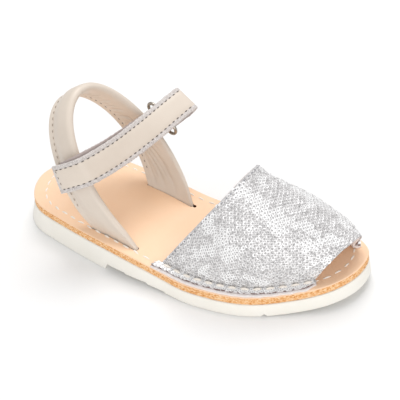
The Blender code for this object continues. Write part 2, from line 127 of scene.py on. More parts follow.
def sole_bottom(x):
    """Height of the outsole's lower face: heel, breast, stepped waist, groove and toe spring."""
    if x <= BREAST:
        return 0.0
    if x < BREAST + BREAST_SLANT:
        return WAIST_LIFT * (x - BREAST) / BREAST_SLANT
    slope = (WAIST_LIFT - STEP_DROP * len(STEPS)) / (WAIST_END - BREAST)
    waist = WAIST_LIFT - slope * (x - BREAST) - sum(STEP_DROP for step in STEPS if x > step)
    groove = GROOVE_DEPTH * max(0.0, 1 - abs(x - GROOVE) / (GROOVE_WIDTH / 2))
    return max(waist, 0.0) + groove + TOE_THINNING * toe_rise(x)


def skin(rings, wrapped=True, closed=False):
    """Mesh through rings of points: a sheet, or if wrapped a tube, capped unless closed."""
    columns = len(rings[0]) if wrapped else len(rings[0]) - 1
    rows = len(rings) if closed else len(rings) - 1
    mesh = bmesh.new()
    mesh.loops.layers.uv.new("UVMap")
    bmesh.ops.create_grid(mesh, x_segments=columns, y_segments=rows, size=0.5, calc_uvs=True)
    for vertex in mesh.verts:
        column = round((vertex.co.x + 0.5) * columns) % len(rings[0])
        row = round((vertex.co.y + 0.5) * rows) % len(rings)
        vertex.co = rings[row][column]
    if wrapped:
        bmesh.ops.remove_doubles(mesh, verts=mesh.verts, dist=1e-7)
        bmesh.ops.holes_fill(mesh, edges=mesh.edges, sides=0)
        bmesh.ops.recalc_face_normals(mesh, faces=mesh.faces)
    return mesh


def slab(levels, stations):
    """Closed slab through levels: each an outline, a height function and an offset to it."""
    mesh = skin([[(x, y, level) for x, y in loop[0]] for level, loop in enumerate(levels)])
    for station in stations:
        bisected = mesh.verts[:] + mesh.edges[:] + mesh.faces[:]
        bmesh.ops.bisect_plane(mesh, geom=bisected, dist=1e-7, plane_co=(station, 0, 0), plane_no=(1, 0, 0))
    for vertex in mesh.verts:
        level = min(int(vertex.co.z), len(levels) - 2)
        low, high = [height(vertex.co.x) + offset for loop, height, offset in levels[level:level + 2]]
        vertex.co.z = low + (high - low) * (vertex.co.z - level)
    return mesh


def upper_edge(inset, radius, height):
    """Levels of a slab's rounded upper edge."""
    return [(outline(inset + radius * (1 - cos(angle))), height, radius * (sin(angle) - 1))
            for angle in EDGE_ANGLES]


def stations():
    """Places along the shoe where its faces bend, and even ones for the curves."""
    bends = [BREAST, BREAST + BREAST_SLANT]
    bends += [GROOVE - GROOVE_WIDTH / 2, GROOVE, GROOVE + GROOVE_WIDTH / 2]
    bends += STEPS + [step + STEP_SLANT for step in STEPS]
    curves = list(np.linspace(TOP_FALL_START, WAIST_END, 17))
    curves += list(np.linspace(TOE_SPRING_START, 0.985 * SOLE_LENGTH, 14))
    return bends + [x for x in curves if min(abs(x - bend) for bend in bends) > SEAT_GAP]


# The frame gives the footbed's place, and every piece is moved there
FOOTBED_INSET = 0.0003
footbed_line = outline(FOOTBED_INSET)
SHIFT = Vector((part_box("insole")[0][0] - min(footbed_line[:, 0]),
                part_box("insole")[0][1] - min(footbed_line[:, 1]), 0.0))


def put(name, data):
    """Put an object of a bmesh, or of other data, in the scene."""
    if isinstance(data, bmesh.types.BMesh):
        shape = data
        data = bpy.data.meshes.new(name)
        shape.to_mesh(data)
        shape.free()
    made = bpy.data.objects.new(name, data)
    bpy.context.collection.objects.link(made)
    return made


def add_piece(shape, name, materials, sharp=40.0):
    """Put a bmesh, or a mesh, in its place as a piece of the shoe."""
    piece = put(name, shape)
    piece.data.transform(Matrix.Translation(SHIFT))
    piece.data.shade_smooth()
    piece.data.set_sharp_from_angle(angle=radians(sharp))
    for material in materials:
        piece.data.materials.append(material)
    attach(piece, "root")
    return piece


def linear(code):
    """Linear colour of an sRGB hex code."""
    values = [int(code[start:start + 2], 16) / 255 for start in (1, 3, 5)]
    return [v / 12.92 if v <= 0.04045 else ((v + 0.055) / 1.055) ** 2.4 for v in values] + [1.0]


def node(material, kind, settings, links={}):
    """Add a node, or take the surface's own, with its settings and its links.

    A link comes from another node's first output, from a socket, or from the coordinates it names.
    """
    nodes = material.node_tree.nodes
    made = nodes[kind] if kind in ("Principled BSDF", "Background") else nodes.new("ShaderNode" + kind)
    for name, value in settings.items():
        if isinstance(value, str) and value.startswith("#"):
            value = linear(value)
        if isinstance(name, int) or name in made.inputs:
            made.inputs[name].default_value = value
        else:
            setattr(made, name, value)
    for name, source in links.items():
        if isinstance(source, str):
            source = node(material, "TexCoord", {}).outputs[source]
        if isinstance(source, bpy.types.Node):
            source = next(output for output in source.outputs if output.enabled)
        material.node_tree.links.new(source, made.inputs[name])
    return made


def blank(name):
    """Material with nothing but its surface shader."""
    material = bpy.data.materials.new(name)
    material.use_nodes = True
    return material


def patterned(name, clouds, tones, surface, relief=None, grain=None, spread=(0.0, 1.0)):
    """Material whose tone follows clouds, and whose relief follows grain or else clouds."""
    made = blank(name)
    spots = node(made, *clouds, {"Vector": "Object"})
    share = node(made, "MapRange", {"From Min": spread[0], "From Max": spread[1]}, {"Value": spots})
    links = {"Base Color": node(made, "Mix", {"data_type": "RGBA", 6: tones[0], 7: tones[1]}, {0: share})}
    if grain:
        spots = node(made, *grain, {"Vector": "Object"})
    if relief:
        settings = {"Strength": relief[0], "Distance": relief[1]}
        links["Normal"] = node(made, "Bump", settings, {"Height": spots})
    node(made, "Principled BSDF", surface, links)
    return made


# Foamed rubber: matt and cream, with a fine closed-cell skin that breaks up its highlights
foam = patterned("foamed_rubber", ("TexNoise", {"Scale": 1 / 0.02, "Detail": 2.0}),
                 ("#EFEBE1", "#F8F5EE"), {"Roughness": 0.55, "IOR": 1.5},
                 (0.25, 0.0002), ("TexNoise", {"Scale": 1 / 0.0009, "Detail": 3.0}))

# Tread: the same rubber with moulded cross ribs 3 mm apart, which catch the light from below
tread = blank("ribbed_rubber_tread")
ribs = node(tread, "TexWave", {"Scale": pi / (10 * 0.003), "bands_direction": "X"}, {"Vector": "Object"})
relief = node(tread, "Bump", {"Strength": 0.8, "Distance": 0.0006}, {"Height": ribs})
node(tread, "Principled BSDF", {"Base Color": "#EDE8DC", "Roughness": 0.6, "IOR": 1.5},
     {"Normal": relief})

levels = []
for angle in EDGE_ANGLES:
    inset = SOLE_EDGE_RADIUS * (1 - sin(angle)) - SIDE_FLARE
    levels.append((outline(inset, HEEL_FLARE), sole_bottom, SOLE_EDGE_RADIUS * (1 - cos(angle))))
mesh = slab(levels + upper_edge(0.0, SOLE_EDGE_RADIUS, sole_top), stations())
mesh.normal_update()
for face in mesh.faces:
    if face.normal.z < -0.9:
        face.material_index = 1
outsole = add_piece(mesh, "outsole_moulding", [foam, tread])
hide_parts("outsole")

# Footbed: one layer of tanned leather, cut to the sole's outline, with a long slot for each leg
# of the heel strap. Its cut edge is left raw.
FOOTBED_THICKNESS = 0.0034
FOOTBED_EDGE_RADIUS = 0.0007
HEEL_STRAP_WIDTH = 0.0142
SLOT_LENGTH = 0.0258
SLOT_CLEARANCE = 0.0003


def footbed_top(x):
    """Height of the footbed's upper face."""
    return sole_top(x) + SEAT_GAP + FOOTBED_THICKNESS


def set_stops(ramp, stops):
    """Give a colour ramp its stops, each a position and a hex code."""
    elements = ramp.color_ramp.elements
    while len(elements) < len(stops):
        elements.new(0.5)
    for element, (position, code) in zip(elements, stops):
        element.position = position
        element.color = linear(code)


# Tanned leather: pale peach, with soft clouds of tone and fine pores under a dull sheen
tanned = patterned("natural_tanned_leather",
                   ("TexNoise", {"Scale": 1 / 0.03, "Detail": 4.0, "Roughness": 0.6}),
                   ("#F7CBA2", "#FDDCBE"), {"Roughness": 0.5, "IOR": 1.5},
                   (0.25, 0.0001), ("TexVoronoi", {"Scale": 1 / 0.0007, "feature": "F1"}))

# Cut leather edge: orange brown and fibrous, flecked dark and light along the hide's layers
cut_edge = blank("cut_leather_edge")
stretch = node(cut_edge, "Mapping", {"Scale": (1.0, 1.0, 1.8)}, {"Vector": "Object"})
flecks = node(cut_edge, "TexNoise", {"Scale": 1 / 0.0011, "Detail": 5.0, "Roughness": 0.75},
              {"Vector": stretch})
tones = node(cut_edge, "ValToRGB", {}, {"Fac": flecks})
set_stops(tones, ((0.35, "#B5651D"), (0.45, "#E8A460"), (0.55, "#F7CB98"), (0.68, "#FDE6C8")))
fibres = node(cut_edge, "Bump", {"Strength": 0.7, "Distance": 0.0004}, {"Height": flecks})
node(cut_edge, "Principled BSDF", {"Roughness": 0.85, "IOR": 1.5},
     {"Base Color": tones, "Normal": fibres})

# Heel strap: a leather tube padded with foam, closed by a stitched flange along its lower edge.
# It runs round the heel, and its two flattened legs go down into the footbed's slots.
LOOP_BACK = 0.1545 * SOLE_LENGTH
LOOP_RISE = 0.0505
LEG_SPREAD = 0.0253
LEG_ALONG_LATERAL = 0.3636 * SOLE_LENGTH
LEG_ALONG_MEDIAL = 0.3855 * SOLE_LENGTH
MEDIAL_TUCK = 0.0118
STRAP_PAD = 0.0044
STRAP_SEAM = 0.0030
STRAP_EDGE = 0.0016
LEG_LEATHER = 0.0022
LEG_SWEEP_LATERAL = 2.4
LEG_SWEEP_MEDIAL = 2.1
LATERAL_HOLLOW = 0.0022
HOLLOW_POWER = 4.3
LEAN_AT_BACK = 31.0
LEAN_CHANGE = 15.0
SLOT_TURN = 6.0
TURN_POWER = 6
WIDEN_LATERAL = 5.0
WIDEN_MEDIAL = 3.5
FLATTEN_LATERAL = 12
FLATTEN_MEDIAL = 3
UPRIGHT_POWER = 3
SLOT_APPROACH = 0.958
LOOP_ROWS = 300
SECTION_STEPS = 13
SECTION_SPANS = 18
RAW_RIM_FROM = 0.76
STRAP_RUN = 0.075
# Soft creases. Columns: face (1 outer, -1 inner), place and across of each end, depth in mm
# (negative is a trough) and width in mm. place runs from -1 at the outer slot to 1 at the inner one
CREASES = [
    (-1, 0.70, -0.62, 0.94, -0.34, -1.05, 0.8),
    (-1, 0.69, -0.52, 0.95, -0.08, -1.25, 0.85),
    (-1, 0.67, -0.45, 0.93, 0.16, -1.15, 0.85),
    (-1, 0.66, -0.30, 0.90, 0.38, -1.00, 0.8),
    (-1, 0.63, -0.15, 0.82, 0.48, -0.80, 0.9),
    (-1, 0.76, -0.60, 0.97, -0.52, -0.80, 0.9),
    (-1, 0.60, 0.10, 0.72, 0.52, -0.60, 0.9),
    (-1, 0.84, 0.10, 0.97, 0.46, -0.60, 0.9),
    (-1, 0.74, -0.56, 0.93, -0.20, 0.55, 1.3),
    (-1, 0.72, -0.36, 0.92, 0.05, 0.55, 1.4),
    (1, -0.55, -0.42, -0.93, -0.50, -0.90, 2.4),
    (1, -0.60, 0.22, -0.95, 0.30, 0.95, 4.5),
    (1, 0.05, -0.36, -0.60, -0.36, -0.50, 2.0),
    (1, 0.72, -0.50, 0.93, 0.10, -0.35, 1.0),
    (1, 0.68, -0.30, 0.88, 0.30, -0.30, 1.0),
]
for wrinkle in range(15):
    start = 0.04 + 0.038 * wrinkle
    reach = 0.20 + 0.18 * sin(2.3 * wrinkle)
    CREASES.append((-1, start, -0.46, start + 0.05, reach, -0.60, 0.75))
    CREASES.append((-1, -start, -0.40, -start - 0.03, 0.5 * reach, -0.14, 0.9))


def strap_frame(place):
    """Centre, width direction, outward direction and width of the strap at a place."""
    def centre(s):
        leg_along = LEG_ALONG_MEDIAL if s > 0 else LEG_ALONG_LATERAL
        sweep = LEG_SWEEP_MEDIAL if s > 0 else LEG_SWEEP_LATERAL
        along = LOOP_BACK + (leg_along - LOOP_BACK) * abs(s) ** sweep
        if s < 0:
            along -= LATERAL_HOLLOW * sin(pi * abs(s) ** HOLLOW_POWER)
        across = LEG_SPREAD * sin(pi / 2 * s) - MEDIAL_TUCK * max(s, 0.0) ** TURN_POWER
        rise = footbed_top(leg_along) + SEAT_GAP + LOOP_RISE * (1 - s * s)
        return Vector((along, across, rise))

    reach = abs(place)
    step = 0.01
    direction = (centre(min(place + step, 1)) - centre(max(place - step, -1))).normalized()
    lean = radians((LEAN_AT_BACK + LEAN_CHANGE * place) * (1 - reach ** UPRIGHT_POWER))
    turn = radians(SLOT_TURN) * reach ** TURN_POWER
    width_way = Vector((cos(lean) * cos(turn), -sin(turn), sin(lean))).normalized()
    outward = width_way.cross(direction).normalized()
    widen = WIDEN_MEDIAL if place > 0 else WIDEN_LATERAL
    width = HEEL_STRAP_WIDTH + (SLOT_LENGTH - HEEL_STRAP_WIDTH) * reach ** widen
    return centre(place), width_way, outward, width


def strap_section(width, pad, grow=0.0):
    """Closed section of the heel strap: flange, padded middle and round front edge."""
    half = width / 2
    edge = min(STRAP_EDGE, pad) / 2
    seam = STRAP_SEAM - half
    full = pad / 2
    rear = [(-half, 0.4 * edge), (-half + 0.25 * edge, edge), (seam, edge),
            (seam + 0.3 * full, 0.5 * edge + 0.5 * full), (seam + full, 0.93 * full)]
    front = [(0.15 * half, full), (half - 1.1 * full, 0.94 * full),
             (half - 0.4 * full, 0.72 * full), (half, 0.25 * full)]
    face = [(across - grow, up + grow) for across, up in rear]
    face += [(across + grow, up + grow) for across, up in front]
    face += [(across, -up) for across, up in reversed(face)]
    return smooth_loop(np.array(face), SECTION_STEPS)


def crease_depth(place, across, face, width):
    """Depth of all creases at a place on one face."""
    depth = 0.0
    here = Vector((place * STRAP_RUN, across * width / 2))
    for side, p0, a0, p1, a1, deep, wide in CREASES:
        if side * face <= 0 or min(abs(place - p0), abs(place - p1)) > 0.35:
            continue
        start = Vector((p0 * STRAP_RUN, a0 * width / 2))
        run = Vector((p1 * STRAP_RUN, a1 * width / 2)) - start
        t = min(max((here - start).dot(run) / run.dot(run), 0.0), 1.0)
        distance = (here - start - run * t).length
        fade = sin(pi * min(max(0.12 + 0.76 * t, 0.0), 1.0))
        depth += deep * 1e-3 * fade * exp(-(distance / (wide * 1e-3)) ** 2)
    return depth


def strap_ring(place, grow=0.0, creased=False):
    """Ring of points round the heel strap at a place."""
    centre, width_way, outward, width = strap_frame(place)
    flatten = FLATTEN_MEDIAL if place > 0 else FLATTEN_LATERAL
    pad = STRAP_PAD + (LEG_LEATHER - STRAP_PAD) * abs(place) ** flatten
    ring = []
    for across, up in strap_section(width, pad, grow):
        if creased:
            share = 2 * across / width
            up += copysign(1, up) * crease_depth(place, share, up, width)
        ring.append(centre + width_way * across + outward * up)
    return ring


def strap_rings():
    """Rings of the heel strap, each leg eased onto the footbed and down its slot."""
    rings = []
    for place in np.linspace(-1, 1, LOOP_ROWS + 1):
        ease = max(0.0, (abs(place) - SLOT_APPROACH) / (1 - SLOT_APPROACH))
        ring = strap_ring(copysign(min(abs(place), SLOT_APPROACH), place), creased=True)
        if ease:
            end = [Vector((p.x, p.y, footbed_top(p.x) + SEAT_GAP))
                   for p in strap_ring(copysign(1, place))]
            ring = [near.lerp(far, ease) for near, far in zip(ring, end)]
        rings.append(ring)
    ends = [[Vector((p.x, p.y, sole_top(p.x) + 2 * SEAT_GAP)) for p in rings[end]] for end in (0, -1)]
    return ends[:1] + rings + ends[1:]


# Slots: cut through the footbed, the inner one with a punched round end. Their walls are
# painted dark brown as painted shade, so they read as dark lines round the legs.
PUNCH_RADIUS = 0.0009
painted_shade_slot_wall = patterned("slot_wall_painted_shade", ("TexNoise", {"Scale": 1 / 0.0012, "Detail": 3.0}),
                      ("#4E2C1A", "#8A5636"), {"Roughness": 0.8})

levels = [(outline(FOOTBED_INSET), sole_top, SEAT_GAP)]
levels += upper_edge(FOOTBED_INSET, FOOTBED_EDGE_RADIUS, footbed_top)
footbed = add_piece(slab(levels, stations()), "leather_footbed", [tanned, cut_edge, painted_shade_slot_wall])
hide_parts("insole")
slots = [[point + SHIFT for point in strap_ring(side, SLOT_CLEARANCE)] for side in (-1, 1)]
slot_end = max(slots[1], key=lambda point: point.x) + Vector((PUNCH_RADIUS / 2, 0, 0))
turns = [2 * pi * step / 20 for step in range(20)]
slots.append([slot_end + PUNCH_RADIUS * Vector((cos(turn), sin(turn), 0)) for turn in turns])
through = 2 * HEEL_HEIGHT + FOOTBED_THICKNESS
for ring in slots:
    cut = footbed.modifiers.new("slot", "BOOLEAN")
    cut.object = put("slot", skin([[(p.x, p.y, z) for p in ring] for z in (0.0, through)]))
slotted = bpy.data.meshes.new_from_object(footbed.evaluated_get(bpy.context.evaluated_depsgraph_get()))
for cut in footbed.modifiers:
    bpy.data.objects.remove(cut.object)
footbed.modifiers.clear()
footbed.data = slotted
for face in slotted.polygons:
    face.material_index = 0 if face.normal.z > 0.5 else 1
    # Faces on the slots' walls take the painted shade material
    for ring in slots:
        ends = np.min(ring, axis=0) - SLOT_CLEARANCE, np.max(ring, axis=0) + SLOT_CLEARANCE
        inside = all(ends[0][axis] < face.center[axis] < ends[1][axis] for axis in (0, 1))
        if inside and abs(face.normal.z) < 0.5:
            face.material_index = 2
slotted.set_sharp_from_angle(angle=radians(40))

# Nappa: soft beige leather, satin, with a faint grain; painted shade darkens it in its folds
nappa = patterned("beige_nappa_leather", ("TexNoise", {"Scale": 1 / 0.012, "Detail": 3.0}),
                  ("#D5C8BA", "#E1D5C8"),
                  {"Roughness": 0.42, "IOR": 1.5, "Sheen Weight": 0.1, "Sheen Roughness": 0.4},
                  (0.18, 0.0001), ("TexVoronoi", {"Scale": 1 / 0.0008, "feature": "DISTANCE_TO_EDGE"}))
tone = nappa.node_tree.nodes["Mix"]
# Painted shade: a darker, warmer colour where the mesh folds inwards
hollow = node(nappa, "NewGeometry", {}).outputs["Pointiness"]
painted_fold_shade = node(nappa, "MapRange", {"From Min": 0.43, "From Max": 0.50}, {"Value": hollow})
deep = node(nappa, "Mix", {"data_type": "RGBA", 6: "#C9B6A4"}, {0: painted_fold_shade, 7: tone})
node(nappa, "Principled BSDF", {}, {"Base Color": deep})

# Raw edge: the cut rim of the straps, fuzzy suede that its dyed core turns lilac grey
raw_edge = patterned("raw_suede_edge", ("TexNoise", {"Scale": 1 / 0.0007, "Detail": 5.0, "Roughness": 0.7}),
                     ("#ADA39F", "#DDD7D3"),
                     {"Roughness": 0.95, "IOR": 1.45, "Sheen Weight": 0.3, "Sheen Roughness": 0.6},
                     (0.6, 0.0003), spread=(0.32, 0.62))

mesh = skin(strap_rings())
uv = mesh.loops.layers.uv.active
for face in mesh.faces:
    along = sum(loop[uv].uv.y for loop in face.loops) / len(face.loops)
    around = SECTION_SPANS * sum(loop[uv].uv.x for loop in face.loops) / len(face.loops)
    if RAW_RIM_FROM < along < 0.99 and not 1 < around < SECTION_SPANS - 2:
        face.material_index = 1
heel_strap = add_piece(mesh, "padded_heel_strap", [nappa, raw_edge], sharp=60.0)
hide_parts("heel_strap")

# Instep strap: a flat leather band that runs through the ring, folds back under itself and closes
# on the outer side of the heel strap. Its edges are cut raw, and two rows of stitches hold it.
STRAP_WIDTH = 0.0132
STRAP_LEATHER = 0.0013
FOLD_RADIUS = 0.0020
LAYER_CLEARANCE = 0.0003
UNDER_LAYER_START = 0.07
LAYERS_PART_FROM = 0.25
LAYERS_PART_OVER = 0.45
END_SLANT = radians(15.0)
END_SLANT_OVER = 0.2
STRAP_SEAM_INSET = 0.0019
SEAM_GROOVE = 0.00016
FRAY = 0.00045
FRAY_LENGTH = 0.0016
RAW_END_SHARE = 0.034
BAND_ROWS = 220
FOLD_ROWS = 16
# Middle line of the top layer, from its free end to its fold. Columns: along, across and rise, as
# shares of the sole's length, the leg spread and the loop's rise, and lean in degrees off upright
STRAP_PATH = (
    (0.203, -1.145, 0.478, 14.0),
    (0.252, -1.160, 0.565, 21.0),
    (0.302, -1.005, 0.640, 26.0),
    (0.327, -0.370, 0.650, 31.0),
    (0.342, 0.380, 0.667, 40.0),
    (0.352, 1.040, 0.692, 50.0),
    (0.360, 1.480, 0.711, 57.0),
)
# How far the under layer strays upwards, as shares of the strap's width, at places along it
UNDER_LAYER_DRIFT = ((0.07, -0.07), (0.20, 0.04), (0.34, 0.10), (0.50, 0.05), (0.75, 0.00))


def smooth_row(table, place):
    """Row of an open table at a place from 0 (first row) to 1 (last row)."""
    rows = np.array(table)
    rows = np.vstack([2 * rows[0] - rows[1], rows, 2 * rows[-1] - rows[-2]])
    spans = len(table) - 1
    span = min(int(place * spans), spans - 1)
    return curve_point(*rows[span:span + 4], place * spans - span)


def band_frame(place):
    """Centre, width direction, outward direction and run of the top layer."""
    def centre(t):
        along, across, rise, lean = smooth_row(STRAP_PATH, t)
        seat = footbed_top(0.0)
        return Vector((along * SOLE_LENGTH, across * LEG_SPREAD, seat + rise * LOOP_RISE))

    step = 0.01
    run = (centre(min(place + step, 1)) - centre(max(place - step, 0))).normalized()
    lean = radians(smooth_row(STRAP_PATH, place)[3])
    width_way = Vector((-sin(lean), 0.0, cos(lean)))
    width_way = (width_way - run * width_way.dot(run)).normalized()
    return centre(place), width_way, run.cross(width_way).normalized(), run


def layer_depth(place):
    """Distance between the middles of the two layers of the instep strap."""
    together = STRAP_LEATHER + LAYER_CLEARANCE
    apart = soft_step((place - LAYERS_PART_FROM) / LAYERS_PART_OVER)
    return together + (2 * FOLD_RADIUS - together) * apart


def band_section(width, thickness, margin, groove):
    """Section of a leather band, with two stitch grooves and rounded edges."""
    half = width / 2
    thick = thickness / 2
    radius = 0.42 * thickness
    seam = half - margin
    side = [(half - radius, thick), (seam + 0.0004, thick), (seam, thick - groove),
            (seam - 0.0004, thick), (0.5 * seam, thick)]
    top = [(-across, up) for across, up in side] + [(0.0, thick)] + side[::-1]
    turn = [pi / 2 * step / 3 for step in range(1, 6)]
    points = top + [(half - radius + radius * sin(a), thick * cos(a)) for a in turn]
    points += [(-across, -thick) for across, up in top]
    points += [(-half + radius - radius * sin(a), -thick * cos(a)) for a in turn]
    return points


def band_ring(centre, width_way, outward, section, fray=0.0):
    """Ring of points round a leather band; fray makes its edges waver."""
    ring = []
    reach = max(across for across, up in section)
    for across, up in section:
        point = centre + width_way * across + outward * up
        waver = fray * noise.noise(point / FRAY_LENGTH) * max(abs(across) / reach - 0.6, 0.0) / 0.4
        ring.append(point + width_way * copysign(waver, across))
    return ring


def top_point(place, across, up):
    """Point of the top layer, whose free end is cut at a slant."""
    centre, width_way, outward, run = band_frame(place)
    drawn_in = tan(END_SLANT) * max(1 - place / END_SLANT_OVER, 0.0) * (across + STRAP_WIDTH / 2)
    return centre + width_way * across + outward * up + run * drawn_in


def mark_raw_faces(mesh, columns, first, last, end_until=0.0, flesh_from=1.0):
    """Give a band's rims and free end the second material, and its under layer's the third, darkened with
    painted shade.
    """
    uv = mesh.loops.layers.uv.active
    for face in mesh.faces:
        middle = columns * sum((loop[uv].uv.x for loop in face.loops)) / len(face.loops)
        along = face.loops[0][uv].uv.y
        if len(face.verts) != 4 or along < end_until or not first < middle < last:
            face.material_index = 2 if along > flesh_from else 1


# Flesh side: the mauve suede of the under layer, where it looks out past the top one, darkened with painted
# shade
flesh_with_painted_shade = patterned("mauve_flesh_side_painted_shade", ("TexNoise", {"Scale": 1 / 0.0009, "Detail": 4.0, "Roughness": 0.7}),
                  ("#8E7F7C", "#C2B5B0"), {"Roughness": 0.95, "Sheen Weight": 0.2})

section = band_section(STRAP_WIDTH, STRAP_LEATHER, STRAP_SEAM_INSET, SEAM_GROOVE)
columns = len(section)
rings = []
for share in np.linspace(0, 1, BAND_ROWS):
    width_way = band_frame(share)[1]
    middle = top_point(share, 0.0, 0.0)
    ring = band_ring(middle, width_way, band_frame(share)[2], section, FRAY)
    rings.append([point + top_point(share, (point - middle).dot(width_way), 0.0)
                  - middle - width_way * (point - middle).dot(width_way) for point in ring])
centre, width_way, outward, run = band_frame(1.0)
for step in range(1, FOLD_ROWS):
    angle = pi * step / FOLD_ROWS
    middle = centre + (run * sin(angle) - outward * (1 - cos(angle))) * FOLD_RADIUS
    facing = outward * cos(angle) + run * sin(angle)
    rings.append(band_ring(middle, width_way, facing, section, FRAY))
for share in np.linspace(1, UNDER_LAYER_START, BAND_ROWS):
    centre, width_way, outward, run = band_frame(share)
    drift = STRAP_WIDTH * float(np.interp(share, *zip(*UNDER_LAYER_DRIFT)))
    middle = centre + width_way * drift - outward * layer_depth(share)
    rings.append(band_ring(middle, width_way, -outward, section, FRAY))
mesh = skin(rings)
mark_raw_faces(mesh, columns, 2, 8, RAW_END_SHARE * 0.5,
               (BAND_ROWS + FOLD_ROWS) / (2 * BAND_ROWS + FOLD_ROWS))
instep_strap = add_piece(mesh, "instep_strap_band", [nappa, raw_edge, flesh_with_painted_shade], sharp=50.0)
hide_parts("instep_strap")

# Ring: a loop of nickel-plated wire on the inner leg of the heel strap, with round ends
RING_WIRE = 0.0015
RING_CLEARANCE = 0.0004
RING_OVERHANG = 0.0022
RING_PLACE = 0.81
RING_STEPS = 16
WIRE_SIDES = 14
TAB_WIDTH = 0.0090
TAB_LEATHER = 0.0011
TAB_LENGTH = 0.0110
TAB_MARGIN = 0.0010
TAB_ROWS = 20

centre, long_way, short_way, run = band_frame(RING_PLACE)
upper_room = STRAP_LEATHER / 2 + RING_CLEARANCE + RING_WIRE / 2
lower_room = upper_room + TAB_LEATHER + SEAT_GAP
ring_centre = centre - short_way * (layer_depth(RING_PLACE) + (lower_room - upper_room) / 2)
half_long = STRAP_WIDTH / 2 + RING_OVERHANG
half_short = (upper_room + lower_room) / 2

# Nickel plate: grey metal with a warm cast, polished, with faint scratches that soften it
nickel = blank("nickel_plated_wire")
scratches = node(nickel, "TexNoise", {"Scale": 1 / 0.0005, "Detail": 4.0}, {"Vector": "Object"})
gloss = node(nickel, "MapRange", {"To Min": 0.18, "To Max": 0.34}, {"Value": scratches})
node(nickel, "Principled BSDF", {"Base Color": "#ADA59B", "Metallic": 1.0}, {"Roughness": gloss})

plane_way = long_way.cross(short_way)
rings = []
for end in (1, -1):
    for step in range(RING_STEPS + 1):
        angle = pi * (step / RING_STEPS - end / 2)
        radial = long_way * cos(angle) + short_way * sin(angle)
        middle = ring_centre + long_way * (end * (half_long - half_short)) + radial * half_short
        turns = [2 * pi * side / WIRE_SIDES for side in range(WIRE_SIDES)]
        rings.append([middle + (radial * cos(turn) + plane_way * sin(turn)) * RING_WIRE / 2
                      for turn in turns])
wire_ring = add_piece(skin(rings, closed=True), "wire_ring", [nickel])
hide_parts("ring")

# Ring tab: a short strip of the strap's leather, folded round the ring's lower bar, with both
# ends flat on the inner leg of the heel strap
bar = ring_centre - short_way * half_short
down = Vector((-long_way.z, 0.0, long_way.x)).normalized()
out = down.cross(long_way).normalized()
eye = RING_WIRE / 2 + SEAT_GAP + TAB_LEATHER / 2
tail = (TAB_LEATHER + SEAT_GAP) / 2
section = band_section(TAB_WIDTH, TAB_LEATHER, TAB_MARGIN, 0.0)
layers = {}
for side in (-1, 1):
    layers[side] = []
    for step in range(TAB_ROWS + 1):
        distance = TAB_LENGTH * (1 - step / TAB_ROWS)
        spread = eye + (tail - eye) * soft_step(distance / (3 * eye))
        middle = bar + down * distance + out * (side * spread)
        layers[side].append(band_ring(middle, long_way * side, out * side, section))
fold = []
for step in range(1, FOLD_ROWS):
    angle = pi * step / FOLD_ROWS
    facing = -out * cos(angle) - down * sin(angle)
    fold.append(band_ring(bar + facing * eye, -long_way, facing, section))
last_on_top = 10
turned = [[ring[(last_on_top - index) % columns] for index in range(columns)]
          for ring in reversed(layers[1])]
mesh = skin(layers[-1] + fold + turned)
mark_raw_faces(mesh, columns, 0, last_on_top)
ring_tab = add_piece(mesh, "leather_ring_tab", [nappa, raw_edge], sharp=50.0)
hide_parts("ring_tab")

# Vamp: an arched piece of sequined cloth over the forefoot, open at the instep and the toe, with
# a lining. Along both sides it is turned out into a flange and hand-stitched to the footbed.
INSTEP_HEIGHT = 0.0426
VAMP_FULLNESS = 0.95
VAMP_WALL = 0.0015
FLANGE_WIDTH = 0.0042
FLANGE_MARGIN = 0.0004
FLANGE_GAP = 0.0005
CLOTH_THICKNESS = 0.0007
LINING_THICKNESS = 0.0011
LINING_CLEARANCE = 0.0002
CLOTH_FLANGE_SHARE = 0.78
FLANGE_COLUMNS = 5
ARCH_COLUMNS = 100
VAMP_ROWS = 90
TAB_REACH = 0.0036
TAB_OVER = 0.09
PUCKER = 0.00030
CLOTH_WAVE = 0.00035
WAVE_LENGTH = 0.012
TOE_TAPER = 0.45
TOE_TAPER_OVER = 0.08
SEAM_PITCH = 0.0053
# Sections from the rear edge to the toe edge. Columns: where the arch stands at the outer and inner
# side and how far its crown leans, as shares of the sole's length, and share of the instep height
VAMP_SECTIONS = (
    (0.529, 0.533, 0.193, 1.00),
    (0.627, 0.636, 0.141, 0.86),
    (0.730, 0.745, 0.095, 0.70),
    (0.836, 0.855, 0.060, 0.50),
    (0.918, 0.948, 0.044, 0.30),
)


def side_lines(inset):
    """Outer and inner side of an outline, each from the heel to the toe."""
    line = outline(inset)
    toe = TOE_ROW * OUTLINE_STEPS
    order = [0] + list(range(len(line) - 1, toe - 1, -1))
    return line[:toe + 1], line[order]


def sampled(at, stations, rows):
    """Rows of numbers, one at each station, blended at a place."""
    return np.array([np.interp(at, stations, column) for column in np.transpose(rows)])


